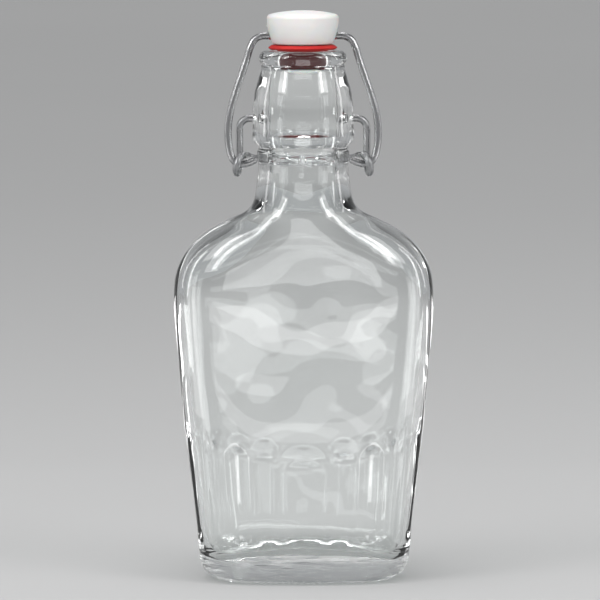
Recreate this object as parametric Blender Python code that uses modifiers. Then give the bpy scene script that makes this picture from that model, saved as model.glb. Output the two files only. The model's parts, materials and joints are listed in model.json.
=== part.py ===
"""Swing-top glass flask: a flat-sided bottle, a moulded stopper with its rubber gasket, and two bent wires.

Units are metres and +Z is up. The origin is the centre of the base on the surface that the flask stands
on, X is the flask's width, Y its depth, and -Y is its front. The flask is shown shut.

The lever wire turns in two dimples in the collar. The bail wire hooks through the lever's two coils and
carries the stopper on its cross bar, so raising the lever's handle lifts the stopper off the mouth.
"""

import math

import bmesh
import bpy
import numpy as np
from mathutils import Vector

MM = 0.001
GAP = 0.3 * MM

# Bottle body: half width and half depth of its section, and how square the section is (2 is an ellipse).
SEGMENTS = 40
HEEL_TOP = 8.3 * MM
HEEL_HALF_WIDTH = 36.5 * MM
HEEL_HALF_DEPTH = 18.0 * MM
HEEL_REACH_X = 9.5 * MM
HEEL_REACH_Y = 5.5 * MM
BODY_SQUARENESS = 2.7
BEARING_WIDTH = 3.0 * MM
PUSH_UP = 3.0 * MM
SHOULDER_HEIGHT = 98.0 * MM
SHOULDER_HALF_WIDTH = 44.9 * MM
SHOULDER_HALF_DEPTH = 19.6 * MM
FLOOR_CORNER = 6.5 * MM
FLOOR_CENTRE = 10.0 * MM
INNER_HEEL_TOP = 16.0 * MM
INNER_HEEL_HALF_WIDTH = 34.0 * MM
INNER_HEEL_HALF_DEPTH = 14.8 * MM

# Neck and mouth.
NECK_RADIUS = 15.5 * MM
NECK_FOOT = 142.0 * MM
NECK_TOP = 151.3 * MM
COLLAR_BOTTOM = 154.5 * MM
COLLAR_RADIUS = 17.3 * MM
COLLAR_BULGE_RADIUS = 17.6 * MM
COLLAR_SHOULDER = 165.0 * MM
GROOVE_RADIUS = 14.5 * MM
GROOVE_HEIGHT = 178.5 * MM
BEAD_RADIUS = 15.2 * MM
BEAD_HEIGHT = 181.5 * MM
LIP_TOP = 184.2 * MM
MOUTH_RADIUS = 10.3 * MM
SEAT_RADIUS = 8.8 * MM
SEAT_TOP = 181.4 * MM
SEAT_BOTTOM = 180.0 * MM
UNDER_SEAT_RADIUS = 10.6 * MM
UNDER_SEAT = 178.7 * MM
BORE_RADIUS = 11.8 * MM
NECK_BORE_RADIUS = 11.2 * MM

# Wires. PIVOT is the lever's hinge line in the dimples, COIL the bail's hinge line, both along X.
WIRE_RADIUS = 1.25 * MM
PIVOT_Z = 160.7 * MM
DIMPLE_FLOOR_RADIUS = 1.6 * MM
DIMPLE_MOUTH_RADIUS = 2.1 * MM
DIMPLE_DEPTH = 4.4 * MM
COIL_RADIUS = 3.0 * MM
COIL_Y = -COIL_RADIUS
COIL_Z = PIVOT_Z - 15.7 * MM
LEVER_X = 22.0 * MM
LEVER_BEND = 3.5 * MM
COIL_STEP = 1.2 * MM
COIL_TUCK = 2.3 * MM
HANDLE_REACH = 19.2 * MM
HANDLE_DROP = 15.6 * MM
CROSS_Z = 189.1 * MM

# Stopper and gasket.
CAP_TOP = 198.0 * MM
CAP_RADIUS = 12.4 * MM
CAP_RIM_HEIGHT = 195.3 * MM
CAP_WAIST = 192.7 * MM
CAP_FOOT_RADIUS = 10.3 * MM
CAP_FOOT = 186.4 * MM
STEM_RADIUS = 5.0 * MM
NUB_RADIUS = 6.2 * MM
NUB_TOP = 178.0 * MM
NUB_BOTTOM = 175.5 * MM
FLANGE_RADIUS = 12.0 * MM
FLANGE_HEIGHT = 185.2 * MM
PLUG_TOP_RADIUS = 8.7 * MM
PLUG_FOOT_RADIUS = 7.8 * MM
TURNED_STEPS = 40


def clear_scene():
    for obj in list(bpy.data.objects):
        bpy.data.objects.remove(obj, do_unlink=True)


def new_collection(name):
    collection = bpy.data.collections.new(name)
    bpy.context.scene.collection.children.link(collection)
    return collection


def plain_material(name, colour, roughness, metallic=0.0, transmission=0.0):
    material = bpy.data.materials.new(name)
    material.use_nodes = True
    shader = material.node_tree.nodes["Principled BSDF"]
    shader.inputs["Base Color"].default_value = (*colour, 1.0)
    shader.inputs["Roughness"].default_value = roughness
    shader.inputs["Metallic"].default_value = metallic
    shader.inputs["Transmission Weight"].default_value = transmission
    return material


def add_mesh(name, bm, collection, material):
    mesh = bpy.data.meshes.new(name)
    bm.to_mesh(mesh)
    bm.free()
    mesh.shade_smooth()
    mesh.set_sharp_from_angle(angle=math.radians(35))
    obj = bpy.data.objects.new(name, mesh)
    obj.data.materials.append(material)
    collection.objects.link(obj)
    return obj


def smooth_curve(points, steps):
    """Points along a Catmull-Rom curve through the given ones, with `steps` to each stretch."""
    pts = np.array(points, dtype=float)
    padded = np.vstack([2 * pts[0] - pts[1], pts, 2 * pts[-1] - pts[-2]])
    out = []
    for a, b, c, d in zip(padded, padded[1:], padded[2:], padded[3:]):
        for t in np.arange(steps) / steps:
            out.append(0.5 * (2 * b + (c - a) * t + (2 * a - 5 * b + 4 * c - d) * t**2
                              + (3 * b - a - 3 * c + d) * t**3))
    out.append(pts[-1])
    return np.array(out)


def arc(centre, radius, start_deg, end_deg, steps):
    """(across, up) points on an arc, with both of its ends."""
    angles = np.radians(np.linspace(start_deg, end_deg, steps + 1))
    return [(centre[0] + radius * math.cos(a), centre[1] + radius * math.sin(a)) for a in angles]


# ---------------------------------------------------------------------------------------------- bottle


def section(z, half_width, half_depth, squareness=2.0):
    """One ring of the bottle: a superellipse at height z."""
    ring = []
    for i in range(SEGMENTS):
        angle = 2 * math.pi * i / SEGMENTS
        c, s = math.cos(angle), math.sin(angle)
        x = half_width * math.copysign(abs(c) ** (2 / squareness), c)
        y = half_depth * math.copysign(abs(s) ** (2 / squareness), s)
        ring.append(Vector((x, y, z)))
    return ring


def turned(points):
    """Rings for the round stretches: neck, collar, mouth and bore."""
    return [section(z, r, r) for r, z in points]


def base_rings():
    """Push-up, flat bearing rim and heel, from the middle of the base outwards."""
    rim_x, rim_y = HEEL_HALF_WIDTH - HEEL_REACH_X, HEEL_HALF_DEPTH - HEEL_REACH_Y
    inner_x, inner_y = rim_x - BEARING_WIDTH, rim_y - BEARING_WIDTH
    rings = []
    for share in (0.3, 0.6, 0.85):
        rings.append(section(PUSH_UP * (1 - share**2), inner_x * share, inner_y * share, BODY_SQUARENESS))
    rings.append(section(0, inner_x, inner_y, BODY_SQUARENESS))
    for turn in np.radians((0, 25, 50, 72)):
        out = math.sin(turn)
        rings.append(section(HEEL_TOP * (1 - math.cos(turn)), rim_x + HEEL_REACH_X * out,
                             rim_y + HEEL_REACH_Y * out, BODY_SQUARENESS))
    return rings


def body_rings():
    """Outside of the flask from the heel up to the neck: z, half width, half depth, squareness."""
    stations = [
        (HEEL_TOP, HEEL_HALF_WIDTH, HEEL_HALF_DEPTH, BODY_SQUARENESS),
        (0.5 * SHOULDER_HEIGHT, 41.1 * MM, 19.1 * MM, BODY_SQUARENESS),
        (0.9 * SHOULDER_HEIGHT, 44.4 * MM, SHOULDER_HALF_DEPTH, BODY_SQUARENESS),
        (SHOULDER_HEIGHT, SHOULDER_HALF_WIDTH, SHOULDER_HALF_DEPTH, BODY_SQUARENESS),
        (105.0 * MM, 44.6 * MM, SHOULDER_HALF_DEPTH, BODY_SQUARENESS),
        (110.0 * MM, 43.3 * MM, 19.5 * MM, BODY_SQUARENESS),
        (114.5 * MM, 40.8 * MM, 19.3 * MM, 2.65),
        (118.8 * MM, 37.0 * MM, 18.8 * MM, 2.55),
        (122.3 * MM, 32.4 * MM, 18.1 * MM, 2.4),
        (125.0 * MM, 27.5 * MM, 17.5 * MM, 2.25),
        (127.2 * MM, 22.6 * MM, 17.0 * MM, 2.1),
        (129.2 * MM, 19.1 * MM, 16.6 * MM, 2.0),
        (132.0 * MM, 17.2 * MM, 16.3 * MM, 2.0),
        (137.0 * MM, 16.2 * MM, 15.9 * MM, 2.0),
        (NECK_FOOT, NECK_RADIUS, NECK_RADIUS, 2.0),
    ]
    return [section(*row) for row in smooth_curve(stations, 2)]


def finish_rings():
    """Outside of the neck, collar, groove and bead, then over the lip and the seat into the wider bore."""
    bead_round = 2.7 * MM
    bead = arc((BEAD_RADIUS - bead_round, BEAD_HEIGHT), bead_round, -50, 90, 6)
    flare, drop = MOUTH_RADIUS - SEAT_RADIUS, LIP_TOP - SEAT_TOP
    mouth = [(MOUTH_RADIUS - flare * math.sin(a), SEAT_TOP + drop * math.cos(a))
             for a in np.radians((0, 30, 60, 90))]
    mouth += [(SEAT_RADIUS, SEAT_BOTTOM), (UNDER_SEAT_RADIUS, UNDER_SEAT)]
    mouth += [(BORE_RADIUS - 0.5 * MM, 174.5 * MM), (BORE_RADIUS - 0.15 * MM, 169.0 * MM)]
    outside = [
        (NECK_RADIUS, NECK_TOP),
        (COLLAR_BULGE_RADIUS - 0.3 * MM, COLLAR_BOTTOM - 0.5 * MM),
        (COLLAR_BULGE_RADIUS, COLLAR_BOTTOM + 0.4 * MM),
        (COLLAR_RADIUS, COLLAR_BOTTOM + 2.5 * MM),
        (COLLAR_RADIUS, COLLAR_SHOULDER),
        (16.7 * MM, COLLAR_SHOULDER + 4.7 * MM),
        (GROOVE_RADIUS + 0.2 * MM, GROOVE_HEIGHT - 1.2 * MM),
        (GROOVE_RADIUS, GROOVE_HEIGHT),
    ]
    return turned(outside + bead + mouth)


def inside_rings():
    """Inside of the flask, from the bore down over the shoulder to the arched floor."""
    stations = [
        (163.0 * MM, BORE_RADIUS, BORE_RADIUS, 2.0),
        (155.0 * MM, BORE_RADIUS - 0.2 * MM, BORE_RADIUS - 0.2 * MM, 2.0),
        (149.0 * MM, NECK_BORE_RADIUS, NECK_BORE_RADIUS, 2.0),
        (NECK_FOOT, NECK_BORE_RADIUS, NECK_BORE_RADIUS, 2.0),
        (137.0 * MM, 11.5 * MM, 11.4 * MM, 2.0),
        (132.0 * MM, 13.0 * MM, 12.1 * MM, 2.05),
        (127.8 * MM, 16.6 * MM, 13.0 * MM, 2.15),
        (122.5 * MM, 24.8 * MM, 14.1 * MM, 2.3),
        (117.0 * MM, 33.6 * MM, 15.1 * MM, 2.5),
        (111.0 * MM, 38.6 * MM, 15.8 * MM, 2.6),
        (104.0 * MM, 40.9 * MM, 16.1 * MM, BODY_SQUARENESS),
        (0.95 * SHOULDER_HEIGHT, 41.2 * MM, 16.2 * MM, BODY_SQUARENESS),
        (0.5 * SHOULDER_HEIGHT, 37.7 * MM, 15.7 * MM, BODY_SQUARENESS),
        (INNER_HEEL_TOP, INNER_HEEL_HALF_WIDTH, INNER_HEEL_HALF_DEPTH, BODY_SQUARENESS),
    ]
    rings = [section(*row) for row in smooth_curve(stations, 2)]
    reach_x, reach_y = 8.0 * MM, 6.0 * MM
    drop = INNER_HEEL_TOP - FLOOR_CORNER
    for turn in np.radians((30, 60, 85)):
        back = 1 - math.cos(turn)
        rings.append(section(INNER_HEEL_TOP - drop * math.sin(turn), INNER_HEEL_HALF_WIDTH - reach_x * back,
                             INNER_HEEL_HALF_DEPTH - reach_y * back, BODY_SQUARENESS))
    for share in (0.75, 0.45, 0.15):
        rings.append(section(FLOOR_CORNER, (INNER_HEEL_HALF_WIDTH - reach_x) * share,
                             (INNER_HEEL_HALF_DEPTH - reach_y) * share, BODY_SQUARENESS))
    return [arched(ring) for ring in rings]


def arched(ring):
    """The ring with the floor's rise along X, from its ends to the middle. The rise fades out up the walls."""
    end = INNER_HEEL_HALF_WIDTH - 4.0 * MM
    fade_start, fade_end = FLOOR_CORNER + 1.0 * MM, INNER_HEEL_TOP + 6.0 * MM
    raised = []
    for point in ring:
        up = min(1.0, max(0.0, (point.z - fade_start) / (fade_end - fade_start)))
        share = max(0.0, 1 - (point.x / end) ** 2) * (1 - up * up * (3 - 2 * up))
        raised.append(point + Vector((0, 0, (FLOOR_CENTRE - FLOOR_CORNER) * share)))
    return raised


def loft(rings, start, end):
    """A closed surface through the rings, with a fan from a pole at each end."""
    bm = bmesh.new()
    rows = [[bm.verts.new(point) for point in ring] for ring in rings]
    first, last = bm.verts.new(start), bm.verts.new(end)
    for i in range(SEGMENTS):
        j = (i + 1) % SEGMENTS
        bm.faces.new((first, rows[0][j], rows[0][i]))
        bm.faces.new((last, rows[-1][i], rows[-1][j]))
        for lower, upper in zip(rows, rows[1:]):
            bm.faces.new((lower[i], lower[j], upper[j], upper[i]))
    return bm


def build_bottle(collection, cutters, material):
    rings = base_rings() + body_rings() + finish_rings() + inside_rings()
    bm = loft(rings, Vector((0, 0, PUSH_UP)), Vector((0, 0, FLOOR_CENTRE)))
    bottle = add_mesh("bottle", bm, collection, material)
    for side in (-1, 1):
        bpy.ops.mesh.primitive_cone_add(
            vertices=16, radius1=DIMPLE_FLOOR_RADIUS, radius2=2 * DIMPLE_MOUTH_RADIUS - DIMPLE_FLOOR_RADIUS,
            depth=2 * DIMPLE_DEPTH, location=(side * COLLAR_RADIUS, 0, PIVOT_Z),
            rotation=(0, side * math.pi / 2, 0))
        cutter = bpy.context.object
        cutter.name = "dimple_cutter_left" if side < 0 else "dimple_cutter_right"
        hide_cutter(cutter, cutters)
        cut(bottle, cutter)
    return bottle


def hide_cutter(cutter, cutters):
    for owner in list(cutter.users_collection):
        owner.objects.unlink(cutter)
    cutters.objects.link(cutter)
    cutter.hide_render = True
    cutter.display_type = "WIRE"


def cut(obj, cutter):
    boolean = obj.modifiers.new("cut " + cutter.name, "BOOLEAN")
    boolean.operation = "DIFFERENCE"
    boolean.object = cutter


# --------------------------------------------------------------------------------- stopper and gasket


def add_turned(name, profile, collection, material, closed=False):
    """A body of revolution about Z. The profile runs down its outer side."""
    bm = bmesh.new()
    verts = [bm.verts.new((r, 0, z)) for r, z in profile]
    for a, b in zip(verts, verts[1:]):
        bm.edges.new((a, b))
    if closed:
        bm.edges.new((verts[-1], verts[0]))
    obj = add_mesh(name, bm, collection, material)
    screw = obj.modifiers.new("turn", "SCREW")
    screw.steps = TURNED_STEPS
    screw.render_steps = TURNED_STEPS
    screw.use_merge_vertices = True
    screw.merge_threshold = 0.00001
    screw.use_smooth_shade = True
    return obj


def stopper_profile():
    """Domed cap with a rounded rim, curving in to its foot, then the stem and the nub below the gasket."""
    dome = [(0, CAP_TOP), (4.0 * MM, CAP_TOP - 0.15 * MM), (8.0 * MM, CAP_TOP - 0.6 * MM),
            (10.9 * MM, CAP_TOP - 1.2 * MM)]
    rim = arc((CAP_RADIUS - 1.4 * MM, CAP_RIM_HEIGHT), 1.4 * MM, 65, 0, 4)
    side = [(CAP_RADIUS - 0.1 * MM, CAP_WAIST), (11.9 * MM, 190.7 * MM), (11.25 * MM, 188.5 * MM),
            (CAP_FOOT_RADIUS + 0.2 * MM, CAP_FOOT + 0.4 * MM)]
    foot = [(CAP_FOOT_RADIUS - 0.3 * MM, CAP_FOOT), (STEM_RADIUS, CAP_FOOT)]
    nub = [(STEM_RADIUS, NUB_TOP), (NUB_RADIUS - 0.2 * MM, NUB_TOP), (NUB_RADIUS, NUB_TOP - 0.3 * MM),
           (NUB_RADIUS - 0.3 * MM, NUB_TOP - 1.1 * MM), (NUB_RADIUS - 1.2 * MM, NUB_BOTTOM + 0.3 * MM),
           (NUB_RADIUS - 2.2 * MM, NUB_BOTTOM), (0, NUB_BOTTOM)]
    return dome + rim + side + foot + nub


def gasket_profile():
    """Flange with a bevelled edge over a plug that tapers into the mouth, round the stopper's stem."""
    inside = STEM_RADIUS + GAP
    top = CAP_FOOT - GAP
    under = LIP_TOP + GAP
    return [
        (inside, top),
        (FLANGE_RADIUS - 1.3 * MM, top),
        (FLANGE_RADIUS, FLANGE_HEIGHT + 0.1 * MM),
        (FLANGE_RADIUS, FLANGE_HEIGHT - 0.1 * MM),
        (FLANGE_RADIUS - 0.8 * MM, under),
        (PLUG_TOP_RADIUS + 0.5 * MM, under),
        (PLUG_TOP_RADIUS, under - 0.6 * MM),
        (PLUG_FOOT_RADIUS + 0.2 * MM, NUB_TOP + GAP + 1.0 * MM),
        (PLUG_FOOT_RADIUS - 0.5 * MM, NUB_TOP + GAP),
        (inside, NUB_TOP + GAP),
    ]


def build_stopper(collection, cutters, material):
    stopper = add_turned("stopper", stopper_profile(), collection, material)
    bpy.ops.mesh.primitive_cylinder_add(
        vertices=16, radius=WIRE_RADIUS + GAP, depth=4 * CAP_RADIUS,
        location=(0, 0, CROSS_Z), rotation=(0, math.pi / 2, 0))
    cutter = bpy.context.object
    cutter.name = "cross_hole_cutter"
    hide_cutter(cutter, cutters)
    cut(stopper, cutter)
    return stopper


# ----------------------------------------------------------------------------------------------- wires


def add_wire(name, points, collection, material):
    """A round wire along the points, with filled ends."""
    curve = bpy.data.curves.new(name, "CURVE")
    curve.dimensions = "3D"
    curve.bevel_depth = WIRE_RADIUS
    curve.bevel_resolution = 2
    curve.use_fill_caps = True
    spline = curve.splines.new("POLY")
    spline.points.add(len(points) - 1)
    for target, point in zip(spline.points, points):
        target.co = (*point, 1.0)
    spline.use_smooth = True
    obj = bpy.data.objects.new(name, curve)
    obj.data.materials.append(material)
    collection.objects.link(obj)
    return obj


def both_sides(half):
    """A wire from its right-hand half, which ends at x = 0."""
    half = [tuple(point) for point in half]
    return half + [(-x, y, z) for x, y, z in reversed(half[:-1])]


def lever_half():
    """From the dimple out, down to the coil, round it and back to the middle of the handle."""
    points = [(COLLAR_RADIUS - DIMPLE_DEPTH + GAP, 0, PIVOT_Z)]
    points += [(x, 0, z) for x, z in arc((LEVER_X - LEVER_BEND, PIVOT_Z - LEVER_BEND), LEVER_BEND, 90, 0, 5)]
    points.append((LEVER_X, 0, COIL_Z + 6.0 * MM))
    steps = 12
    for i in range(steps + 1):
        share = i / steps
        angle = math.radians(270) * share
        outward = COIL_STEP * math.sin(0.45 * angle)
        tuck = COIL_TUCK * (max(0.0, share - 0.55) / 0.45) ** 1.5
        points.append((LEVER_X + outward - tuck, COIL_Y + COIL_RADIUS * math.cos(angle),
                       COIL_Z - COIL_RADIUS * math.sin(angle)))
    handle = [
        points.pop(),
        (19.2 * MM, 0.2 * MM, COIL_Z + COIL_RADIUS - 0.2 * MM),
        (18.5 * MM, 3.8 * MM, PIVOT_Z - 13.5 * MM),
        (16.7 * MM, 8.8 * MM, PIVOT_Z - 14.4 * MM),
        (13.0 * MM, 13.8 * MM, PIVOT_Z - 15.0 * MM),
        (7.2 * MM, 17.8 * MM, PIVOT_Z - 15.4 * MM),
        (0, HANDLE_REACH, PIVOT_Z - HANDLE_DROP),
    ]
    return points + list(smooth_curve(handle, 4))


def bail_half():
    """From the hooked end, through the coil, up the leg and in to the middle of the cross bar."""
    outline = [
        (16.4 * MM, 1.7 * MM),
        (18.3 * MM, 0.7 * MM),
        (20.4 * MM, 0.1 * MM),
        (22.4 * MM, 0.2 * MM),
        (23.9 * MM, 1.2 * MM),
        (24.9 * MM, 3.2 * MM),
        (25.6 * MM, 6.2 * MM),
        (25.9 * MM, 9.8 * MM),
        (25.7 * MM, 14.2 * MM),
        (24.9 * MM, 19.0 * MM),
        (23.3 * MM, 24.6 * MM),
        (21.3 * MM, 30.5 * MM),
        (19.3 * MM, 36.4 * MM),
        (18.2 * MM, 40.1 * MM),
        (16.6 * MM, 42.9 * MM),
        (14.0 * MM, CROSS_Z - COIL_Z),
        (11.0 * MM, CROSS_Z - COIL_Z),
    ]
    rise = CROSS_Z - COIL_Z
    points = []
    for x, up in smooth_curve(outline, 3):
        points.append((x, COIL_Y * (1 - up / rise), COIL_Z + up))
    return points + [(0, 0, CROSS_Z)]


def main():
    clear_scene()
    flask = new_collection("growler")
    cutters = new_collection("cutters")
    glass = plain_material("clear_glass", (0.93, 0.96, 0.95), 0.03, transmission=0.9)
    plastic = plain_material("white_plastic", (0.86, 0.86, 0.84), 0.35)
    rubber = plain_material("red_rubber", (0.55, 0.03, 0.02), 0.5)
    steel = plain_material("steel_wire", (0.6, 0.6, 0.6), 0.3, metallic=1.0)
    build_bottle(flask, cutters, glass)
    build_stopper(flask, cutters, plastic)
    add_turned("gasket", gasket_profile(), flask, rubber, closed=True)
    add_wire("lever_wire", both_sides(lever_half()), flask, steel)
    add_wire("bail_wire", both_sides(bail_half()), flask, steel)


main()
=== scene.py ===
"""Looks of the swing-top flask: clear glass, white stopper, red gasket and two bent wires.

Everything is in metres in the model's own frame: X is the flask's width, -Y its front, Z up from the table.
Each CAD node is replaced by a finer piece of the same size, which rides on the same body.
"""

import json
import math

import bpy
import numpy as np
from mathutils import Matrix, Vector


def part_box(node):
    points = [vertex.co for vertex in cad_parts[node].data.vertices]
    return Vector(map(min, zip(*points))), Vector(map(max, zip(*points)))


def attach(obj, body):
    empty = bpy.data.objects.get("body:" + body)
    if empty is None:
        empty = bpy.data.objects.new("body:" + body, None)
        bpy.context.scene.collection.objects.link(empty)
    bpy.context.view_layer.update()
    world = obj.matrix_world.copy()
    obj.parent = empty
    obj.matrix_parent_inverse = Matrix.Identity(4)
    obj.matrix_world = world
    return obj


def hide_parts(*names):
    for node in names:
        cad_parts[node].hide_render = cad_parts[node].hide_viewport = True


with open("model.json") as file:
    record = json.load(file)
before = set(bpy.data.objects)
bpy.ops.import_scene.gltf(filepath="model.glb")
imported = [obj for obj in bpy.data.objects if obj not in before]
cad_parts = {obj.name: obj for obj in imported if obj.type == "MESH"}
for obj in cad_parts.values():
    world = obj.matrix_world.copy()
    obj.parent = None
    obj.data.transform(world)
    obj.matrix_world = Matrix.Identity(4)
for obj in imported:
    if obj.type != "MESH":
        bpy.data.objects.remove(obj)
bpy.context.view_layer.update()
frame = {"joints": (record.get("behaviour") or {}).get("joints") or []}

MM = 0.001

# Heights and hinge lines that the frame gives.
JOINTS = {joint["name"]: joint for joint in frame["joints"]}
PIVOT_Z = JOINTS["lever_hinge"]["pos_m"][2]
COIL_Y, COIL_Z = JOINTS["bail_hinge"]["pos_m"][1:]
CROSS_Z = JOINTS["stopper_hinge"]["pos_m"][2]
LIP_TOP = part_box("bottle")[1].z
CAP_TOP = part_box("stopper")[1].z
NUB_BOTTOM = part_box("stopper")[0].z

# Bottle body. A section is a superellipse, and its squareness is 2 for an ellipse.
HEEL_TOP = 8.3 * MM
HEEL_HALF_WIDTH = 36.5 * MM
HEEL_HALF_DEPTH = 18.0 * MM
HEEL_REACH_X = 9.5 * MM
HEEL_REACH_Y = 5.5 * MM
SQUARENESS = 2.7
BEARING_WIDTH = 3.0 * MM
PUSH_UP = 3.0 * MM
FLOOR_CORNER = 6.5 * MM
FLOOR_CENTRE = 10.0 * MM
INNER_HEEL_TOP = 16.0 * MM
INNER_HEEL_HALF_WIDTH = 34.0 * MM
INNER_HEEL_HALF_DEPTH = 14.8 * MM
KNURL_DEPTH = 0.3 * MM
KNURL_COLUMNS = 4

# How far the glass wanders from its shape: waves inside and outside, and streaks on the heel.
INNER_RIPPLE = 0.22 * MM
OUTER_RIPPLE = 0.08 * MM
HEEL_STREAK = 0.1 * MM

# Flutes round the lower body: where the ridges stand, as shares of a quarter of the way round.
RIDGES = (0.0, 0.167, 0.375, 0.56, 0.70, 0.87, 1.0)
COLUMNS = (11, 14, 12, 9, 12, 8)
FLUTE_DEPTH = 0.6 * MM
FLUTE_FOOT = 14.5 * MM
FLUTE_HEAD = 44.0 * MM
FLUTE_HEAD_RISE = 11.0 * MM
FLUTE_ARCH = 6.0 * MM

# Neck and mouth.
COLLAR_RADIUS = 17.3 * MM
DIMPLE_FLOOR_RADIUS = 1.6 * MM
DIMPLE_MOUTH_RADIUS = 2.1 * MM
DIMPLE_DEPTH = 4.4 * MM
SEAM_HEIGHT = 0.08 * MM
SEAM_HALF_WIDTH = 0.55 * MM
PIP_HEIGHT = 0.6 * MM
NOTCH_DEPTH = 0.4 * MM

# How far apart the bottle's rows are: up the fluted part, up the rest, and inside.
FLUTED_ROW_STEP = 0.72 * MM
PLAIN_ROW_STEP = 1.5 * MM
INNER_ROW_STEP = 3.0 * MM

# Wires.
GAP = 0.3 * MM
WIRE_RADIUS = 1.25 * MM
WIRE_SIDES = 28
WIRE_STEP = 0.42 * MM
WIRE_CUT = 0.6 * MM
WIRE_END = ((0.0, 0.72), (0.07, 0.90), (0.2, 0.98), (0.38, 1.0))
COIL_RADIUS = 3.0 * MM
COIL_STEP = 1.2 * MM
COIL_TUCK = 2.3 * MM
LEVER_X = 22.0 * MM
LEVER_BEND = 3.5 * MM

# Stopper and gasket.
STEM_RADIUS = 5.0 * MM
NUB_TOP = 178.0 * MM
NIB_REACH = 0.35 * MM
NIB_Z = 192.7 * MM
TURNED_COLUMNS = 192

# Camera.
CAMERA_PLACE = Vector((-1.25, -1523.0, 255.0)) * MM
CAMERA_PITCH = math.radians(5.9)
CAMERA_ROLL = math.radians(-0.18)
LENS = 264.8
SENSOR = 36.0

# The flask's middle, which the far lights face.
LIGHT_AIM = Vector((0, 0, 0.12))


# ------------------------------------------------------------------------------------------- modelling


def smooth_curve(points, steps):
    """Points along a Catmull-Rom curve through the given ones, with `steps` to each stretch."""
    pts = np.array(points, dtype=float)
    padded = np.vstack([2 * pts[0] - pts[1], pts, 2 * pts[-1] - pts[-2]])
    t = (np.arange(steps) / steps)[:, None]
    out = [0.5 * (2 * b + (c - a) * t + (2 * a - 5 * b + 4 * c - d) * t**2 + (3 * b - a - 3 * c + d) * t**3)
           for a, b, c, d in zip(padded, padded[1:], padded[2:], padded[3:])]
    return np.vstack(out + [pts[-1:]])


def lengths_along(points):
    """How far along the line through the points each of them is."""
    return np.concatenate([[0], np.cumsum(np.linalg.norm(np.diff(points[:, :3], axis=0), axis=1))])


def spline(points, count):
    """`count` rows along the natural cubic spline through the given rows."""
    pts = np.array(points, dtype=float)
    knots = lengths_along(pts)
    steps = np.diff(knots)
    size = len(pts)
    system, right = np.eye(size), np.zeros_like(pts)
    for i in range(1, size - 1):
        before, after = steps[i - 1], steps[i]
        system[i, i - 1:i + 2] = before, 2 * (before + after), after
        right[i] = 6 * ((pts[i + 1] - pts[i]) / after - (pts[i] - pts[i - 1]) / before)
    bend = np.linalg.solve(system, right)
    at = np.linspace(0, knots[-1], count)
    i = np.clip(np.searchsorted(knots, at, side="right") - 1, 0, size - 2)
    h = steps[i][:, None]
    a, b = (knots[i + 1] - at)[:, None] / h, (at - knots[i])[:, None] / h
    return a * pts[i] + b * pts[i + 1] + ((a**3 - a) * bend[i] + (b**3 - b) * bend[i + 1]) * h**2 / 6


def even(points, spacing):
    """The line again, with its points about `spacing` apart."""
    lengths = lengths_along(points)
    at = np.linspace(0, lengths[-1], max(2, round(lengths[-1] / spacing) + 1))
    return np.stack([np.interp(at, lengths, column) for column in points.T], axis=1)


def filled(points, most):
    """The line again, with every stretch longer than `most` divided."""
    out = [points[:1]]
    for a, b in zip(points, points[1:]):
        count = max(1, math.ceil(np.linalg.norm(b - a) / most))
        out.append(a + (b - a) * (np.arange(1, count + 1) / count)[:, None])
    return np.vstack(out)


def rounded(corners, steps=5):
    """An outline from (across, up, corner radius) rows, with each inner corner rounded."""
    corners = np.array([(*corner, 0)[:3] for corner in corners], dtype=float)
    out = [corners[0, :2]]
    for before, here, after in zip(corners, corners[1:], corners[2:]):
        point, radius = here[:2], here[2]
        if radius == 0:
            out.append(point)
            continue
        back, ahead = before[:2] - point, after[:2] - point
        long_back, long_ahead = np.linalg.norm(back), np.linalg.norm(ahead)
        half = 0.5 * math.acos(np.clip(back @ ahead / (long_back * long_ahead), -1, 1))
        reach = min(radius / max(math.tan(half), 1e-6), 0.48 * long_back, 0.48 * long_ahead)
        start, end = point + back * (reach / long_back), point + ahead * (reach / long_ahead)
        for t in np.linspace(0, 1, steps):
            out.append((1 - t)**2 * start + 2 * t * (1 - t) * point + t**2 * end)
    out.append(corners[-1, :2])
    return np.array(out)


def arc(centre, radius, start_deg, end_deg, steps):
    """(across, up) points on an arc, with both of its ends."""
    angles = np.radians(np.linspace(start_deg, end_deg, steps + 1))
    return [(centre[0] + radius * math.cos(a), centre[1] + radius * math.sin(a)) for a in angles]


def ripple(points, wavelength, seed):
    """A smooth random field, mostly between -1 and 1."""
    rng = np.random.default_rng(seed)
    field = np.zeros(points.shape[:-1])
    for _ in range(10):
        way = rng.normal(size=3)
        way *= 2 * math.pi * rng.uniform(0.7, 1.4) / (wavelength * np.linalg.norm(way))
        field += np.sin(points @ way + rng.uniform(0, 2 * math.pi))
    return field / 3


def smooth_step(value, start, end):
    share = np.clip((value - start) / (end - start), 0, 1)
    return share * share * (3 - 2 * share)


def add_object(name, verts, faces, sharp_deg):
    mesh = bpy.data.meshes.new(name)
    mesh.from_pydata(np.asarray(verts).tolist(), [], faces)
    mesh.update()
    mesh.shade_smooth()
    mesh.set_sharp_from_angle(angle=math.radians(sharp_deg))
    obj = bpy.data.objects.new(name, mesh)
    bpy.context.scene.collection.objects.link(obj)
    return obj


def grid_faces(rows, columns, closed=False):
    """Quads between the rows of a grid whose columns go all the way round."""
    ends = range(rows if closed else rows - 1)
    return [(i * columns + j, i * columns + (j + 1) % columns,
             (i + 1) % rows * columns + (j + 1) % columns, (i + 1) % rows * columns + j)
            for i in ends for j in range(columns)]


def pole_faces(rows, columns):
    """Fans from two poles, which come after the grid's points, to its first and last rows."""
    first, last, top = rows * columns, rows * columns + 1, (rows - 1) * columns
    faces = []
    for j in range(columns):
        k = (j + 1) % columns
        faces += [(first, k, j), (last, top + j, top + k)]
    return faces


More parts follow.
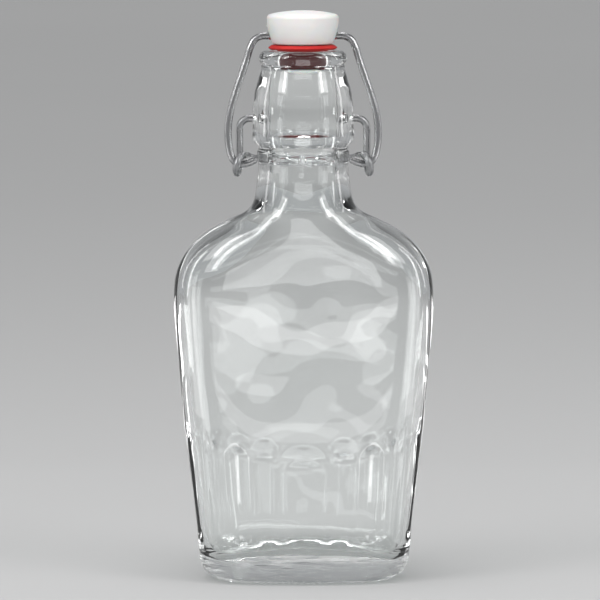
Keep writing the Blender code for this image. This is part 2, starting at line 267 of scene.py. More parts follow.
def capped_grid(name, grid, first, last, sharp_deg):
    rows, columns = grid.shape[:2]
    verts = np.vstack([grid.reshape(-1, 3), first, last])
    return add_object(name, verts, grid_faces(rows, columns) + pole_faces(rows, columns), sharp_deg)


def revolved(outline, columns):
    """A grid of points from turning an (across, up) outline about Z."""
    angles = np.linspace(0, 2 * math.pi, columns, endpoint=False)
    r, z = outline[:, :1], outline[:, 1:]
    return np.stack([r * np.cos(angles), r * np.sin(angles), np.repeat(z, columns, axis=1)], axis=2)


def outward(grid):
    """Normals of a grid that runs up its outer side, row by row."""
    around = np.roll(grid, -1, axis=1) - np.roll(grid, 1, axis=1)
    normals = np.cross(around, np.gradient(grid, axis=0))
    return normals / np.maximum(np.linalg.norm(normals, axis=2, keepdims=True), 1e-12)


def cut(obj, cutters):
    """Takes the cutters out of the object, and removes them."""
    for cutter in cutters:
        boolean = obj.modifiers.new("cut", "BOOLEAN")
        boolean.operation = "DIFFERENCE"
        boolean.object = cutter
    mesh = bpy.data.meshes.new_from_object(obj.evaluated_get(bpy.context.evaluated_depsgraph_get()))
    obj.modifiers.clear()
    obj.data = mesh
    for cutter in cutters:
        bpy.data.objects.remove(cutter, do_unlink=True)


def finish_piece(obj, material, body, node):
    obj.data.materials.clear()
    obj.data.materials.append(material)
    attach(obj, body)
    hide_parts(node)
    return obj


# ---------------------------------------------------------------------------------------------- bottle


def quarter_shares():
    """Where the columns stand on a quarter of a ring, as shares of its length, with one on each ridge."""
    return np.concatenate([np.linspace(start, end, count, endpoint=False)
                           for start, end, count in zip(RIDGES, RIDGES[1:], COLUMNS)])


def ring_shares():
    """The shares all the way round, from the front's middle by the right side, with the signs of x and y."""
    quarter = quarter_shares()
    half = np.concatenate([quarter, [1], quarter[:0:-1]])
    count = len(quarter)
    return np.tile(half, 2), np.repeat([1, -1], 2 * count), np.repeat([-1, 1, 1, -1], count)


SHARES, SIGN_X, SIGN_Y = ring_shares()


def section(z, half_width, half_depth, squareness):
    """One ring of the bottle: a superellipse at height z."""
    turn = np.linspace(0, math.pi / 2, 300)
    quarter = np.stack([half_width * np.sin(turn) ** (2 / squareness),
                        half_depth * np.cos(turn) ** (2 / squareness), 0 * turn], axis=1)
    lengths = lengths_along(quarter)
    at = SHARES * lengths[-1]
    return np.stack([SIGN_X * np.interp(at, lengths, quarter[:, 0]),
                     SIGN_Y * np.interp(at, lengths, quarter[:, 1]), np.full(len(at), z)], axis=1)


def base_rows():
    """Push-up, bearing rim and heel: z, half width, half depth, squareness."""
    rim_x, rim_y = HEEL_HALF_WIDTH - HEEL_REACH_X, HEEL_HALF_DEPTH - HEEL_REACH_Y
    inner_x, inner_y = rim_x - BEARING_WIDTH, rim_y - BEARING_WIDTH
    rows = [(PUSH_UP * (1 - s**2), inner_x * s, inner_y * s) for s in np.linspace(0.08, 0.97, 10)]
    rows += [(0, inner_x + BEARING_WIDTH * s, inner_y + BEARING_WIDTH * s) for s in np.linspace(0.03, 1, 7)]
    for turn in np.radians(np.linspace(5, 87, 24)):
        out = math.sin(turn)
        rows.append((HEEL_TOP * (1 - math.cos(turn)), rim_x + HEEL_REACH_X * out, rim_y + HEEL_REACH_Y * out))
    return np.array([(*row, SQUARENESS) for row in rows])


def body_rows():
    """Outside of the flask from the heel up to the neck."""
    stations = np.array([
        (8.3, 36.5, 18.0, 2.7), (22.0, 38.0, 18.4, 2.7), (49.0, 41.1, 19.1, 2.7),
        (70.0, 43.0, 19.4, 2.7), (88.2, 44.4, 19.6, 2.7), (98.0, 44.9, 19.6, 2.7),
        (105.0, 44.6, 19.6, 2.7), (110.0, 43.3, 19.5, 2.7), (114.5, 40.8, 19.3, 2.65),
        (118.8, 37.0, 18.8, 2.55), (122.3, 32.4, 18.1, 2.4), (125.0, 27.5, 17.5, 2.25),
        (127.2, 22.6, 17.0, 2.1), (129.2, 19.1, 16.6, 2.0), (132.0, 17.2, 16.3, 2.0),
        (137.0, 16.2, 15.9, 2.0), (142.0, 15.5, 15.5, 2.0)]) * (MM, MM, MM, 1)
    fine = spline(stations, 1500)
    fluted = fine[:, 0] < 54 * MM
    return np.vstack([even(fine[fluted], FLUTED_ROW_STEP), even(fine[~fluted], PLAIN_ROW_STEP)[:-1]])


def round_rows(outline):
    """Rows of the neck and mouth from an (across, up) outline."""
    r, z = outline[:, 0], outline[:, 1]
    return np.stack([z, r, r, 0 * z + 2.0], axis=1)


def finish_rows():
    """Outside of the neck and its ledge, the collar, groove and bead, then over the lip and down the bore."""
    below = [(15.5, 142.0), (15.5, 145.5, 0.4), (15.9, 145.9, 0.4), (15.9, 149.2, 0.4), (15.5, 149.7, 0.5),
             (15.5, 151.3, 0.6), (17.0, 152.6, 2), (17.6, 154.8, 3), (17.35, 158.2, 6), (17.25, 165.0, 12),
             (16.6, 170.0, 20), (14.55, 177.6, 2.5), (14.5, 179.0, 0.3)]
    bead = [(r, z, 0) for r, z in arc((12.5, 181.5), 2.7, -48, 84, 11)]
    mouth = [(10.3, 184.2, 1.1), (8.8, 181.6, 1.5), (8.8, 180.0, 0.8), (10.6, 178.7, 1.2), (11.3, 174.5, 4),
             (11.65, 169.0, 10), (11.8, 163.0)]
    outline = rounded([(*row, 0)[:3] for row in below] + bead + mouth)
    return round_rows(filled(outline * MM, 2.0 * MM))


def inner_rows():
    """Inside of the flask, from the bore down over the shoulder and the heel to the arched floor."""
    stations = np.array([
        (163.0, 11.8, 11.8, 2.0), (155.0, 11.6, 11.6, 2.0), (149.0, 11.2, 11.2, 2.0),
        (142.0, 11.2, 11.2, 2.0), (137.0, 11.5, 11.4, 2.0), (132.0, 13.0, 12.1, 2.05),
        (127.8, 16.6, 13.0, 2.15), (122.5, 24.8, 14.1, 2.3), (117.0, 33.6, 15.1, 2.5),
        (111.0, 38.6, 15.8, 2.6), (104.0, 40.9, 16.1, 2.7), (93.1, 41.2, 16.2, 2.7),
        (49.0, 37.7, 15.7, 2.7), (16.0, 34.0, 14.8, 2.7)])
    rows = [even(spline(stations * (MM, MM, MM, 1), 1200), INNER_ROW_STEP)[1:]]
    reach_x, reach_y = 8.0 * MM, 6.0 * MM
    for turn in np.radians(np.linspace(8, 80, 9)):
        back = 1 - math.cos(turn)
        rows.append([(INNER_HEEL_TOP - (INNER_HEEL_TOP - FLOOR_CORNER) * math.sin(turn),
                      INNER_HEEL_HALF_WIDTH - reach_x * back,
                      INNER_HEEL_HALF_DEPTH - reach_y * back, SQUARENESS)])
    floor_x, floor_y = INNER_HEEL_HALF_WIDTH - reach_x, INNER_HEEL_HALF_DEPTH - reach_y
    for share in np.linspace(0.92, 0.08, 10):
        rows.append([(FLOOR_CORNER, floor_x * share, floor_y * share, SQUARENESS)])
    return np.vstack(rows)


def arched(grid):
    """How far the floor inside rises along X, highest in the middle. The rise fades out up the walls."""
    across = grid[..., 0] / (INNER_HEEL_HALF_WIDTH - 4.0 * MM)
    fade = 1 - smooth_step(grid[..., 2], FLOOR_CORNER + 1.0 * MM, INNER_HEEL_TOP + 6.0 * MM)
    return (FLOOR_CENTRE - FLOOR_CORNER) * np.maximum(1 - across**2, 0) * fade


def flute_depths(z):
    """How deep the flutes are at each point of the outside."""
    ridges = np.array(RIDGES)
    panel = np.clip(np.searchsorted(ridges, SHARES, side="right") - 1, 0, len(RIDGES) - 2)
    start, end = ridges[panel], ridges[panel + 1]
    # The first panel is the half of one that crosses the middle of the front, and the last crosses the side.
    start = np.where(panel == 0, -ridges[1], start)
    end = np.where(panel == len(RIDGES) - 2, 2 - start, end)
    middle = 0.5 * (start + end)
    across = (SHARES - middle) / (end - middle)
    head = FLUTE_HEAD + FLUTE_HEAD_RISE * np.abs(middle)
    past_foot = np.maximum(FLUTE_FOOT + 0.6 * FLUTE_ARCH - z, 0) / (0.6 * FLUTE_ARCH)
    past_head = np.maximum(z - head + FLUTE_ARCH, 0) / FLUTE_ARCH
    depth = FLUTE_DEPTH * (1 - 0.6 * smooth_step(middle, 0.75, 1.0))
    return depth * np.maximum(1 - across**2 - past_foot**2 - past_head**2, 0)


def knurls(grid):
    """Small grooves across the bearing rim."""
    place = np.arange(len(SHARES)) % KNURL_COLUMNS / KNURL_COLUMNS
    groove = 0.5 - 0.5 * np.cos(2 * math.pi * place)
    height = grid[..., 2]
    on_rim = smooth_step(-height, -1.2 * MM, -0.3 * MM)
    return KNURL_DEPTH * groove * on_rim


def bump(distance, width):
    """A rounded bump: 1 at no distance, and 0 from `width` on."""
    share = np.clip(np.abs(distance) / width, 0, 1)
    return (1 - share**2) ** 2


def neck_marks(grid):
    """The pip below the ledge at the front, the notch in the ledge above it, and the two mould seams."""
    x, y, z = np.moveaxis(grid, 2, 0)
    front = y < 0
    away = np.hypot(x + 0.7 * MM, z - 144.1 * MM)
    pip = PIP_HEIGHT * bump(away, 1.5 * MM) * front
    notch_place = np.abs(x + 0.3 * MM) + np.maximum(z - 145.6 * MM, 0) * 0.45
    notch = NOTCH_DEPTH * bump(notch_place, 1.6 * MM) * front * (z > 145.2 * MM) * (z < 149.9 * MM)
    return pip - notch + SEAM_HEIGHT * bump(y, SEAM_HALF_WIDTH) * between(z, 6, 12, 170, 176)


def between(z, rise_start, rise_end, fall_start, fall_end):
    """A share that rises from 0 to 1 and falls back to 0 with height. The heights are in millimetres."""
    rise = smooth_step(z, rise_start * MM, rise_end * MM)
    return rise * (1 - smooth_step(z, fall_start * MM, fall_end * MM))


def outer_waves(grid):
    """Streaks on the heel, and slight waves above the flutes."""
    z = grid[..., 2]
    streaks = HEEL_STREAK * ripple(grid * (0.14, 0.14, 1.0), 2.2 * MM, 21) * between(z, 0.4, 1.5, 8, 13)
    return streaks + OUTER_RIPPLE * ripple(grid, 26 * MM, 5) * between(z, 55, 75, 120, 140)


def inner_waves(grid):
    """The waves inside, which make the highlights wander. They are weaker in the neck."""
    z = grid[..., 2]
    waves = ripple(grid, 44 * MM, 8) + 0.22 * ripple(grid, 20 * MM, 11)
    return INNER_RIPPLE * waves * (1 - 0.6 * smooth_step(z, 120 * MM, 140 * MM)) * between(z, 8, 20, 152, 163)


def build_bottle(material):
    """One skin, whose rows run up the outside from the push-up, over the lip and down the inside."""
    base, finish = base_rows(), finish_rows()
    outside = np.vstack([base, body_rows()])
    rows = np.vstack([outside, finish, inner_rows()])
    grid = np.array([section(*row) for row in rows])
    normals = outward(grid)
    number = np.arange(len(rows))
    outer = number < len(outside) + int(np.argmax(finish[:, 0] > LIP_TOP - 0.1 * MM))
    inner = number >= len(outside) + len(finish)
    z = grid[..., 2]
    outer_relief = neck_marks(grid) + outer_waves(grid) - flute_depths(z) * (z > 9 * MM)
    grid += normals * (outer_relief * outer[:, None] + inner_waves(grid) * inner[:, None])[..., None]
    grid[inner, :, 2] += arched(grid[inner])
    low = number < len(base)
    grid[low, :, 2] += knurls(grid[low])
    bottle = capped_grid("glass_bottle", grid, (0, 0, PUSH_UP), (0, 0, FLOOR_CENTRE), 50)
    cut(bottle, [dimple_cutter(side) for side in (-1, 1)])
    return finish_piece(bottle, material, "bottle", "bottle")


def dimple_cutter(side):
    """A cone with a rounded tip: what the lever's end turns in."""
    outline = rounded([(0, 0), (DIMPLE_FLOOR_RADIUS, 0, 0.5 * MM),
                       (2 * DIMPLE_MOUTH_RADIUS - DIMPLE_FLOOR_RADIUS, 2 * DIMPLE_DEPTH),
                       (0, 2 * DIMPLE_DEPTH)])
    grid = revolved(outline[1:-1], 40)
    cutter = capped_grid("dimple_cutter", grid, (0, 0, 0), (0, 0, 2 * DIMPLE_DEPTH), 40)
    cutter.data.transform(Matrix.Translation((side * (COLLAR_RADIUS - DIMPLE_DEPTH), 0, PIVOT_Z))
                          @ Matrix.Rotation(side * math.pi / 2, 4, "Y"))
    return cutter


# --------------------------------------------------------------------------------- stopper and gasket


def build_stopper(material):
    """Domed cap with a rounded rim, curving in to its foot, then the stem and the nub below the gasket."""
    profile = [
        (0, 175.5), (4.7, 175.5, 1.1), (6.0, 176.2, 1.2), (6.4, 177.8, 0.3), (6.3, 178.1, 0.15),
        (5.0, 178.1, 0.2), (5.0, 186.4, 0.3), (10.1, 186.4, 0.5), (10.5, 186.9, 0.5), (11.25, 188.5, 9),
        (11.9, 190.7, 9), (12.3, 192.8, 9), (12.4, 195.3, 0)]
    rim = [(r, z, 0) for r, z in arc((11.0, 195.3), 1.4, 8, 62, 7)]
    dome = [(10.9, 196.78, 2), (8.0, 197.4, 10), (4.0, 197.85, 10), (0, 198.0)]
    outline = filled(rounded(profile + rim + dome, 6) * MM, 0.6 * MM)
    inner = outline[1:-1]
    grid = revolved(inner, TURNED_COLUMNS)
    x, y, z = np.moveaxis(grid, 2, 0)
    angle = np.arctan2(y, x)
    # The little nib that the mould left on the left of the cap.
    nib = NIB_REACH * bump(z - NIB_Z, 0.45 * MM) * bump(np.abs(angle) - math.pi, 0.09)
    grid += outward(grid) * nib[..., None]
    stopper = capped_grid("stopper_cap", grid, (0, 0, NUB_BOTTOM), (0, 0, CAP_TOP), 40)
    reach = 20 * MM
    hole = np.array([(WIRE_RADIUS + GAP, -reach), (WIRE_RADIUS + GAP, reach)])
    cutter = capped_grid("hole_cutter", revolved(hole, 40), (0, 0, -reach), (0, 0, reach), 40)
    cutter.data.transform(Matrix.Translation((0, 0, CROSS_Z)) @ Matrix.Rotation(math.pi / 2, 4, "Y"))
    cut(stopper, [cutter])
    return finish_piece(stopper, material, "stopper", "stopper")


def build_gasket(material):
    """Flange with a bevelled edge over a plug that tapers into the mouth, round the stopper's stem."""
    inside = (STEM_RADIUS + GAP) / MM
    outline = rounded([
        (inside, 182.0), (inside, 178.3, 0.3), (7.3, 178.3, 0.4), (8.0, 179.3, 0.5), (8.7, 183.9, 0.3),
        (9.2, 184.5, 0.2), (11.2, 184.5, 0.3), (12.05, 185.2, 0.25), (10.7, 186.1, 0.4), (inside, 186.1, 0.3),
        (inside, 182.0)], 5)
    outline = filled(outline[:-1] * MM, 0.7 * MM)
    grid = revolved(outline, TURNED_COLUMNS)
    faces = grid_faces(len(outline), TURNED_COLUMNS, closed=True)
    gasket = add_object("rubber_gasket", grid.reshape(-1, 3), faces, 45)
    return finish_piece(gasket, material, "stopper", "gasket")


# ----------------------------------------------------------------------------------------------- wires


def both_sides(half):
    """A wire from its right-hand half, which ends at x = 0."""
    half = np.array(half)
    return np.vstack([half, half[-2::-1] * (-1, 1, 1)])


def lever_half():
    """From the dimple out, down to the coil, round it and back to the middle of the handle."""
    points = [(COLLAR_RADIUS - DIMPLE_DEPTH + GAP, 0, PIVOT_Z)]
    points += [(x, 0, z) for x, z in arc((LEVER_X - LEVER_BEND, PIVOT_Z - LEVER_BEND), LEVER_BEND, 90, 0, 12)]
    points.append((LEVER_X, 0, COIL_Z + 6.0 * MM))
    for share in np.linspace(0, 1, 31):
        angle = math.radians(270) * share
        outward_shift = COIL_STEP * math.sin(0.45 * angle)
        tuck = COIL_TUCK * (max(0.0, share - 0.55) / 0.45) ** 1.5
        points.append((LEVER_X + outward_shift - tuck, COIL_Y + COIL_RADIUS * math.cos(angle),
                       COIL_Z - COIL_RADIUS * math.sin(angle)))
    handle = [
        points.pop(),
        (19.2 * MM, 0.2 * MM, COIL_Z + COIL_RADIUS - 0.2 * MM),
        (18.5 * MM, 3.8 * MM, PIVOT_Z - 13.5 * MM),
        (16.7 * MM, 8.8 * MM, PIVOT_Z - 14.4 * MM),
        (13.0 * MM, 13.8 * MM, PIVOT_Z - 15.0 * MM),
        (7.2 * MM, 17.8 * MM, PIVOT_Z - 15.4 * MM),
        (0, 19.2 * MM, PIVOT_Z - 15.6 * MM),
    ]
    return points + list(smooth_curve(handle, 10))


def bail_half():
    """From the hooked end, through the coil, up the leg and in to the middle of the cross bar."""
    outline = np.array([
        (16.4, 1.7), (18.3, 0.7), (20.4, 0.1), (22.4, 0.2), (23.9, 1.2), (24.9, 3.2), (25.6, 6.2),
        (25.9, 9.8), (25.7, 14.2), (24.9, 19.0), (23.3, 24.6), (21.3, 30.5), (19.3, 36.4), (18.2, 40.1),
        (16.6, 42.9), (14.0, 44.1), (11.0, 44.1)]) * MM
    rise = CROSS_Z - COIL_Z
    leg = [(x, COIL_Y * (1 - up / rise), COIL_Z + up) for x, up in smooth_curve(outline, 8)]
    return leg + [(0, 0, CROSS_Z)]


def build_wire(name, half, material, body, node):
    """A round wire along a smooth line, with its sheared ends a little rounded."""
    rough = even(both_sides(half), 1.6 * MM)
    path = spline(rough, round(lengths_along(rough)[-1] / WIRE_STEP))
    tangents = np.gradient(path, axis=0)
    tangents /= np.linalg.norm(tangents, axis=1, keepdims=True)
    side = np.cross(tangents[0], (0.0, 1.0, 0.0))
    sides = []
    for tangent in tangents:
        side = side - tangent * (side @ tangent)
        side /= np.linalg.norm(side)
        sides.append(side)
    sides = np.array(sides)
    ups = np.cross(tangents, sides)
    lengths = lengths_along(path)
    keep = (lengths > WIRE_CUT) & (lengths < lengths[-1] - WIRE_CUT)
    start = [path[0] + tangents[0] * d * MM for d, _ in WIRE_END]
    stop = [path[-1] - tangents[-1] * d * MM for d, _ in reversed(WIRE_END)]
    shoulder = np.array([r for _, r in WIRE_END])
    repeats = np.concatenate([np.zeros(len(shoulder), int), np.flatnonzero(keep),
                              np.full(len(shoulder), len(path) - 1)])
    path = np.vstack([start, path[keep], stop])
    radii = WIRE_RADIUS * np.concatenate([shoulder, np.ones(keep.sum()), shoulder[::-1]])
    grid = ring_grid(path, sides[repeats], ups[repeats], radii)
    wire = capped_grid(name, grid[:, ::-1], path[0], path[-1], 40)
    store_wire_map(wire, path, curvature(path))
    return finish_piece(wire, material, body, node)


def ring_grid(path, sides, ups, radii):
    angles = np.linspace(0, 2 * math.pi, WIRE_SIDES, endpoint=False)
    return path[:, None] + radii[:, None, None] * (
        sides[:, None] * np.cos(angles)[:, None] + ups[:, None] * np.sin(angles)[:, None])


def curvature(path):
    """How sharply the wire is bent at each point, from 0 for straight to about 1 in the coils."""
    smooth = np.gradient(path, lengths_along(path), axis=0)
    bend = np.linalg.norm(np.gradient(smooth, lengths_along(path), axis=0), axis=1) * COIL_RADIUS
    kernel = np.hanning(15)
    return np.clip(np.convolve(bend, kernel / kernel.sum(), mode="same"), 0, 1)


def store_wire_map(wire, path, bends):
    """Gives the material a place along and round the wire, and how bent the wire is there."""
    angles = np.linspace(0, 2 * math.pi, WIRE_SIDES, endpoint=False)
    lengths = np.repeat(lengths_along(path)[:, None], WIRE_SIDES, axis=1)
    around = np.stack([np.tile(np.cos(angles), (len(path), 1)), np.tile(np.sin(angles), (len(path), 1)),
                       lengths / (10 * MM)], axis=2).reshape(-1, 3)
    ends = [(0, 0, 0), (0, 0, lengths[-1, 0] / (10 * MM))]
    attribute = wire.data.attributes.new("wire_place", "FLOAT_VECTOR", "POINT")
    attribute.data.foreach_set("vector", np.vstack([around, ends]).astype(np.float32).ravel())
    bent = np.concatenate([np.repeat(bends, WIRE_SIDES), bends[:1], bends[-1:]])
    attribute = wire.data.attributes.new("wire_bend", "FLOAT", "POINT")
    attribute.data.foreach_set("value", bent.astype(np.float32))


# ------------------------------------------------------------------------------------------- materials


class Shader:
    """A material being made from nodes."""

    def __init__(self, name):
        self.material = bpy.data.materials.new(name)
        self.material.use_nodes = True
        self.tree = self.material.node_tree
        self.tree.nodes.clear()
        self.output = self.node("ShaderNodeOutputMaterial")
        self.surface = self.node("ShaderNodeBsdfPrincipled")

    def node(self, kind, inputs=None, **settings):
        made = self.tree.nodes.new(kind)
        for key, value in settings.items():
            setattr(made, key, value)
        for key, value in (inputs or {}).items():
            if isinstance(value, bpy.types.NodeSocket):
                self.tree.links.new(value, made.inputs[key])
            else:
                made.inputs[key].default_value = value
        return made

    def set(self, **values):
        for key, value in values.items():
            socket = self.surface.inputs[key.replace("_", " ")]
            if isinstance(value, bpy.types.NodeSocket):
                self.tree.links.new(value, socket)
            else:
                socket.default_value = value

    def noise(self, vector, scale, detail=2.0, roughness=0.5):
        made = self.node("ShaderNodeTexNoise", {"Vector": vector, "Scale": scale, "Detail": detail,
                                                "Roughness": roughness})
        return made.outputs["Fac"]

    def stretched(self, vector, scale):
        return self.node("ShaderNodeMapping", {"Vector": vector, "Scale": scale}).outputs["Vector"]

    def ramp(self, value, low, high, out_low, out_high):
        """The value between low and high, carried over to numbers between out_low and out_high."""
        made = self.node("ShaderNodeMapRange", {"Value": value, "From Min": low, "From Max": high,
                                                "To Min": out_low, "To Max": out_high})
        return made.outputs["Result"]

    def blend(self, share, first, second):
        """A colour between two."""
        made = self.node("ShaderNodeMix", data_type="RGBA")
        for socket, value in ((made.inputs[0], share), (made.inputs[6], first), (made.inputs[7], second)):
            if isinstance(value, bpy.types.NodeSocket):
                self.tree.links.new(value, socket)
            else:
                socket.default_value = value
        return made.outputs[2]

    def maths(self, operation, first, second):
        made = self.node("ShaderNodeMath", {0: first, 1: second}, operation=operation)
        return made.outputs[0]

    def bumped(self, height, distance, strength=1.0):
        made = self.node("ShaderNodeBump", {"Height": height, "Distance": distance, "Strength": strength})
        self.set(Normal=made.outputs["Normal"])

    def place(self):
        return self.node("ShaderNodeNewGeometry").outputs["Position"]

    def own_place(self):
        return self.node("ShaderNodeTexCoord").outputs["Object"]

    def done(self, surface=None):
        self.tree.links.new(surface or self.surface.outputs[0], self.output.inputs["Surface"])
        return self.material


def glass_material():
    """Clear soda glass: a trace of green where it is thick, faint smears, and a fire-polished skin."""
    shader = Shader("clear_glass_looks")
    place = shader.own_place()
    smear = shader.noise(place, 45.0, 3.0)
    skin = shader.noise(place, 90.0, 1.0)
    tint = shader.blend(shader.noise(place, 20.0), (0.965, 0.985, 0.978, 1), (0.985, 0.992, 0.99, 1))
    shader.set(Base_Color=tint, Roughness=shader.ramp(smear, 0.5, 0.8, 0.0, 0.03))
    shader.set(Transmission_Weight=1.0, IOR=1.52)
    # Fine streaks along the heel, left by the base plate of the mould.
    stretch = shader.stretched(place, (0.12, 0.12, 1.0))
    height = shader.node("ShaderNodeSeparateXYZ", {0: place}).outputs["Z"]
    on_heel = shader.ramp(height, 7 * MM, 10 * MM, 11.0, 0.0)
    streaks = shader.maths("MULTIPLY", shader.noise(stretch, 800.0, 2.0), on_heel)
    shader.bumped(shader.maths("ADD", skin, streaks), 0.00002)
    facing = shader.node("ShaderNodeLayerWeight", {"Blend": 0.35}).outputs["Facing"]
    shade = shader.blend(facing, (0.98, 0.99, 0.985, 1), (0.42, 0.44, 0.435, 1))
    # Light reaches the paper through the glass, dimmed where it meets the wall edge on.
    clear = shader.node("ShaderNodeBsdfTransparent", {"Color": shade})
    path = shader.node("ShaderNodeLightPath").outputs
    lit = shader.maths("MAXIMUM", path["Is Shadow Ray"], path["Is Diffuse Ray"])
    mix = shader.node("ShaderNodeMixShader", {0: lit, 1: shader.surface.outputs[0], 2: clear.outputs[0]})
    return shader.done(mix.outputs[0])


def plastic_material():
    """White moulded plastic, satin, slightly uneven and a little see-through at its edges, with painted light
    that whitens the nub.
    """
    shader = Shader("white_plastic_looks")
    place = shader.own_place()
    cloud = shader.noise(place, 120.0, 3.0)
    grain = shader.noise(place, 2500.0, 2.0)
    tone = shader.blend(cloud, (0.70, 0.70, 0.682, 1), (0.76, 0.76, 0.745, 1))
    # Painted light: the nub below the gasket gets a whiter colour so it looks lit down in the mouth, where
    # little light reaches it.
    height = shader.node("ShaderNodeSeparateXYZ", {0: place}).outputs["Z"]
    nub_painted_light = shader.ramp(height, NUB_TOP, NUB_TOP + 1.0 * MM, 1.0, 0.0)
    tone = shader.blend(nub_painted_light, tone, (0.93, 0.93, 0.92, 1))
    shader.set(Base_Color=tone, Roughness=shader.ramp(cloud, 0.3, 0.7, 0.42, 0.55))
    shader.set(Subsurface_Weight=0.35, Subsurface_Scale=0.003, IOR=1.5)
    shader.bumped(shader.maths("ADD", grain, shader.maths("MULTIPLY", cloud, 3.0)), 0.00002)
    return shader.done()


def rubber_material():
    """Red rubber with a soft sheen, a faint bloom and fine moulding grain, and painted shade on the plug
    inside the mouth.
    """
    shader = Shader("red_rubber_looks")
    place = shader.own_place()
    cloud = shader.noise(place, 260.0, 4.0)
    grain = shader.noise(place, 3000.0, 2.0)
    bloom = shader.ramp(cloud, 0.3, 0.7, 0.0, 1.0)
    rim = shader.blend(bloom, (0.46, 0.016, 0.016, 1), (0.56, 0.034, 0.030, 1))
    # Painted shade: below the lip, down in the mouth, the plug is given a near-black red so it looks shaded
    # there.
    height = shader.node("ShaderNodeSeparateXYZ", {0: place}).outputs["Z"]
    above_painted_shade = shader.ramp(height, LIP_TOP - 0.6 * MM, LIP_TOP + 0.3 * MM, 0.0, 1.0)
    tone = shader.blend(above_painted_shade, (0.06, 0.002, 0.003, 1), rim)
    shader.set(Base_Color=tone, Roughness=shader.ramp(cloud, 0.3, 0.7, 0.5, 0.65))
    shader.set(IOR=1.5, Specular_IOR_Level=0.2)
    shader.bumped(grain, 0.00003)
    return shader.done()


def wire_material():
    """Drawn and galvanised steel wire: bright, with die lines along it, and dull where it is bent hard."""
    shader = Shader("steel_wire_looks")
    place = shader.node("ShaderNodeAttribute", attribute_name="wire_place").outputs["Vector"]
    bend = shader.node("ShaderNodeAttribute", attribute_name="wire_bend").outputs["Fac"]
    lines = shader.noise(shader.stretched(place, (1.0, 1.0, 0.03)), 9.0, 6.0, 0.65)
    patches = shader.noise(shader.stretched(place, (1.0, 1.0, 3.0)), 2.0, 4.0)
    drawn = shader.ramp(lines, 0.3, 0.7, 0.0, 1.0)
    bright = shader.blend(drawn, (0.30, 0.30, 0.31, 1), (0.52, 0.52, 0.52, 1))
    blotched = shader.ramp(patches, 0.35, 0.65, 0.0, 1.0)
    dull = shader.blend(blotched, (0.24, 0.245, 0.25, 1), (0.36, 0.36, 0.37, 1))
    wear = shader.maths("ADD", bend, shader.maths("MULTIPLY", patches, 0.35))
    worn = shader.ramp(wear, 0.55, 1.05, 0.0, 0.85)
    shader.set(Base_Color=shader.blend(worn, bright, dull))
    polish = shader.ramp(lines, 0.3, 0.7, 0.30, 0.20)
    shader.set(Roughness=shader.maths("ADD", polish, shader.maths("MULTIPLY", worn, 0.22)), Metallic=1.0)
    shader.bumped(shader.maths("ADD", lines, shader.maths("MULTIPLY", patches, 0.4)), 0.00002)
    return shader.done()


def floor_material():
    """Pale matt studio paper."""
    shader = Shader("studio_floor")
    tone = shader.blend(shader.noise(shader.place(), 0.7), (0.49, 0.49, 0.49, 1), (0.52, 0.52, 0.52, 1))
    shader.set(Base_Color=tone, Roughness=0.9)
    shader.set(Specular_IOR_Level=0.1)
    return shader.done()


# --------------------------------------------------------------------------------------- floor and light


def add_floor():
    mesh = bpy.data.meshes.new("floor")
    half = 12.0
    corners = [(-half, -half, 0), (half, -half, 0), (half, half, 0), (-half, half, 0)]
    mesh.from_pydata(corners, [], [(0, 1, 2, 3)])
    mesh.materials.append(floor_material())
    floor = bpy.data.objects.new("floor", mesh)
    bpy.context.scene.collection.objects.link(floor)


def add_softbox(name, place, target, width, height, power, on_diffuse=True, on_gloss=True):
    """A rectangular light facing its target. With on_diffuse False it only shows in gloss and glass."""
    light = bpy.data.lights.new(name, "AREA")
    light.shape = "RECTANGLE"
    light.size, light.size_y = width, height
    light.energy = power
    obj = bpy.data.objects.new(name, light)
    bpy.context.scene.collection.objects.link(obj)
    obj.location = place
    obj.rotation_euler = (Vector(target) - Vector(place)).to_track_quat("-Z", "Y").to_euler()
    obj.visible_diffuse = on_diffuse
    obj.visible_glossy = on_gloss
    return obj


def add_card(name, place, target, width, height, power):
    """A softbox that only shows in reflections, so it isn't seen straight through the flask."""
    card = add_softbox(name, place, target, width, height, power, on_diffuse=False)
    card.data.use_nodes = True
    tree = card.data.node_tree
    path = tree.nodes.new("ShaderNodeLightPath")
    mirrored = tree.nodes.new("ShaderNodeMath")
    mirrored.operation = "GREATER_THAN"
    mirrored.inputs[1].default_value = 0.5
    tree.links.new(path.outputs["Glossy Depth"], mirrored.inputs[0])
    tree.links.new(mirrored.outputs[0], tree.nodes["Emission"].inputs["Strength"])


def add_world():
    """Dim surroundings, a little brighter towards the horizon."""
    world = bpy.data.worlds.new("studio")
    bpy.context.scene.world = world
    world.use_nodes = True
    tree = world.node_tree
    way = tree.nodes.new("ShaderNodeTexCoord")
    split = tree.nodes.new("ShaderNodeSeparateXYZ")
    ramp = tree.nodes.new("ShaderNodeMapRange")
    ramp.inputs["From Min"].default_value, ramp.inputs["From Max"].default_value = 0.0, 0.7
    ramp.inputs["To Min"].default_value, ramp.inputs["To Max"].default_value = 0.42, 0.15
    tree.links.new(way.outputs["Generated"], split.inputs[0])
    tree.links.new(split.outputs["Z"], ramp.inputs["Value"])
    tree.links.new(ramp.outputs["Result"], tree.nodes["Background"].inputs["Strength"])
    tree.nodes["Background"].inputs["Color"].default_value = (0.96, 0.98, 1.0, 1)


def around(azimuth, elevation, distance):
    """A place round the flask's middle. Azimuth 0 is in front, and 90 is to the right."""
    a, e = math.radians(azimuth), math.radians(elevation)
    return Vector((math.sin(a) * math.cos(e), -math.cos(a) * math.cos(e), math.sin(e))) * distance + LIGHT_AIM


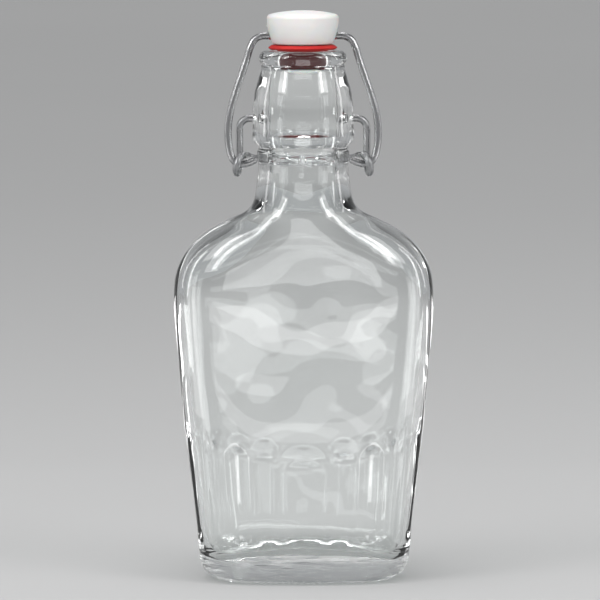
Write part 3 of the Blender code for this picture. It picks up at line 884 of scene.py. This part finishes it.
def add_lights():
    for side in (-1, 1):
        add_softbox("key_softbox", around(side * 54, 36, 1.3), LIGHT_AIM, 0.5, 0.75, 5.2)
        add_softbox("key_core", around(side * 50, 36, 1.25), LIGHT_AIM, 0.14, 0.6, 2.6, on_diffuse=False)
        add_softbox("edge_strip", around(side * 100, 20, 1.1), LIGHT_AIM, 0.12, 0.9, 1.6, on_diffuse=False)
        add_card("flute_strip", (side * 0.075, -0.12, 0.014), (0, 0, 0.03), 0.011, 0.024, 0.004)
        add_card("low_strip", (side * 0.27, -0.09, 0.07), (0, 0, 0.06), 0.09, 0.13, 0.09)
    # Low cards in front and behind, because an upright wall seen from a little above mirrors what lies low.
    for away in (-0.28, 0.28):
        add_card("low_card", (0, away, 0.056), (0, 0, 0.05), 0.5, 0.018, 0.0625)
        add_card("lowest_card", (0, away, 0.010), (0, 0, 0.05), 0.5, 0.010, 0.025)
    add_softbox("front_fill", around(0, 9, 1.9), LIGHT_AIM, 2.0, 0.6, 12.0, on_gloss=False)
    add_softbox("back_strip", around(180, 62, 1.2), LIGHT_AIM, 0.7, 0.10, 2.2, on_diffuse=False)
    add_softbox("back_low_strip", around(180, 38, 1.3), LIGHT_AIM, 0.8, 0.05, 1.2, on_diffuse=False)
    add_softbox("top_softbox", around(0, 84, 1.3), LIGHT_AIM, 0.7, 0.45, 2.2)
    add_room_light()


def add_room_light():
    """Very soft light from above, which the glass and the wires don't mirror."""
    light = bpy.data.lights.new("room_light", "SUN")
    light.energy = 1.7
    light.angle = math.radians(60)
    obj = bpy.data.objects.new("room_light", light)
    obj.rotation_euler = (math.radians(14), math.radians(-8), 0)
    obj.visible_glossy = False
    obj.visible_transmission = False
    bpy.context.scene.collection.objects.link(obj)


def add_camera():
    data = bpy.data.cameras.new("camera")
    data.lens = LENS
    data.sensor_width = SENSOR
    data.clip_end = 40.0
    camera = bpy.data.objects.new("camera", data)
    bpy.context.scene.collection.objects.link(camera)
    turn = Matrix.Rotation(math.pi / 2 - CAMERA_PITCH, 4, "X") @ Matrix.Rotation(CAMERA_ROLL, 4, "Z")
    camera.matrix_world = Matrix.Translation(CAMERA_PLACE) @ turn
    bpy.context.scene.camera = camera


def main():
    add_camera()
    add_floor()
    add_world()
    add_lights()
    steel = wire_material()
    build_bottle(glass_material())
    build_stopper(plastic_material())
    build_gasket(rubber_material())
    build_wire("lever_wire_fine", lever_half(), steel, "lever", "lever_wire")
    build_wire("bail_wire_fine", bail_half(), steel, "bail", "bail_wire")
    settings = bpy.context.scene.cycles
    settings.max_bounces = 24
    settings.transmission_bounces = 24
    settings.caustics_reflective = False
    settings.caustics_refractive = False
    bpy.context.scene.view_settings.view_transform = "Standard"


main()
